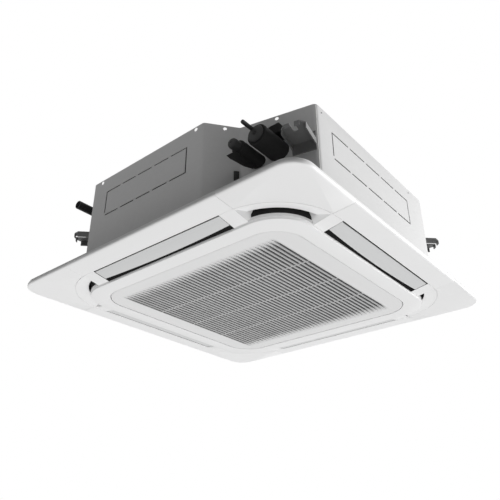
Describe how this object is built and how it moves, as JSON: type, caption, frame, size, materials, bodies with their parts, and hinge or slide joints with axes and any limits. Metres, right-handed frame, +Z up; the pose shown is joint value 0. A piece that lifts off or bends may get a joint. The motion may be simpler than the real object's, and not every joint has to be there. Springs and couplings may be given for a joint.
{
  "type": "ceiling cassette air conditioner",
  "caption": "Ceiling cassette air conditioner: square white panel with hinged slatted intake grille, swinging louvres and open corner outlets below a galvanised hung casing.",
  "frame": {"origin": "centre of the decoration panel at its lowest plane, the face of the intake grille", "axes": "+Z up; +X and +Y along the panel's sides, with the piping corner at -X, -Y and the pipes leaving along -X"},
  "size_m": [0.95, 0.95, 0.312],
  "materials": {
    "panel_white": "satin moulded plastic",
    "louvre_grey": "satin moulded plastic",
    "grille_white": "satin moulded plastic",
    "filter_net": "woven net in a plastic frame",
    "zinc_sheet": "galvanised, spangled",
    "zinc_bracket": "galvanised",
    "white_foam": "expanded foam",
    "dark_plastic": "moulded",
    "fan_plastic": "moulded",
    "plain_steel": "plated",
    "motor_paint": "painted",
    "coil_fins": "fin stack",
    "copper_pipe": "copper",
    "pipe_foam": "closed-cell foam",
    "black_rubber": "moulded rubber",
    "cream_plastic": "moulded",
    "board_green": "circuit board"
  },
  "bodies": {
    "housing": {"panel_frame": "panel_white", "catch_clip_1": "panel_white", "catch_clip_2": "panel_white", "casing_wall_front": "zinc_sheet", "casing_wall_rear": "zinc_sheet", "casing_top": "zinc_sheet", "foam_liner": "white_foam", "drain_pan": "white_foam", "bell_mouth": "dark_plastic", "fan_motor": "motor_paint", "motor_bracket": "zinc_bracket", "heat_exchanger": "coil_fins", "coil_end_plate_1": "zinc_bracket", "coil_end_plate_2": "zinc_bracket", "coil_partition": "zinc_sheet", "gas_line": "copper_pipe", "liquid_line": "copper_pipe", "gas_sleeve": "pipe_foam", "liquid_sleeve": "pipe_foam", "service_tube": "dark_plastic", "pipe_cover_plate": "zinc_sheet", "pipe_seal_block": "pipe_foam", "cable_grommet": "black_rubber", "drain_pump": "cream_plastic", "drain_hose": "black_rubber", "drain_outlet": "dark_plastic", "float_stem": "cream_plastic", "control_box": "zinc_sheet", "control_box_cover": "zinc_sheet", "control_board": "board_green", "terminal_block": "dark_plastic", "corner_cover_1": "panel_white", "louvre_motor_1": "plain_steel", "hanger_bracket_1": "zinc_bracket", "corner_cover_2": "panel_white", "louvre_motor_2": "plain_steel", "hanger_bracket_2": "zinc_bracket", "corner_cover_3": "panel_white", "louvre_motor_3": "plain_steel", "hanger_bracket_3": "zinc_bracket", "corner_cover_4": "panel_white", "louvre_motor_4": "plain_steel", "hanger_bracket_4": "zinc_bracket", "motor_damper_1": "black_rubber", "motor_damper_2": "black_rubber", "motor_damper_3": "black_rubber"},
    "louvre_1": {"louvre_1": "louvre_grey"},
    "louvre_2": {"louvre_2": "louvre_grey"},
    "louvre_3": {"louvre_3": "louvre_grey"},
    "louvre_4": {"louvre_4": "louvre_grey"},
    "grille": {"intake_grille": "grille_white", "filter_tray": "grille_white", "air_filter": "filter_net"},
    "fan": {"fan_impeller": "fan_plastic", "motor_shaft": "plain_steel", "hub_nut": "plain_steel"},
    "float": {"float_ring": "cream_plastic"}
  },
  "joints": [
    {"name": "louvre_1_swing", "type": "hinge", "parent": "housing", "child": "louvre_1", "pos_m": [0.386, 0, 0.017], "axis": [0, 1, 0], "range_deg": [0, 45]},
    {"name": "louvre_2_swing", "type": "hinge", "parent": "housing", "child": "louvre_2", "pos_m": [0, 0.386, 0.017], "axis": [-1, 0, 0], "range_deg": [0, 45]},
    {"name": "louvre_3_swing", "type": "hinge", "parent": "housing", "child": "louvre_3", "pos_m": [-0.386, 0, 0.017], "axis": [0, -1, 0], "range_deg": [0, 45]},
    {"name": "louvre_4_swing", "type": "hinge", "parent": "housing", "child": "louvre_4", "pos_m": [0, -0.386, 0.017], "axis": [1, 0, 0], "range_deg": [0, 45]},
    {"name": "grille_hinge", "type": "hinge", "parent": "housing", "child": "grille", "pos_m": [0, 0.344, 0.007], "axis": [1, 0, 0], "range_deg": [0, 90]},
    {"name": "fan_spin", "type": "hinge", "parent": "housing", "child": "fan", "pos_m": [0, 0, 0.2], "axis": [0, 0, 1], "continuous": true},
    {"name": "float_slide", "type": "slide", "parent": "housing", "child": "float", "axis": [0, 0, 1], "range_m": [0, 0.012]}
  ]
}
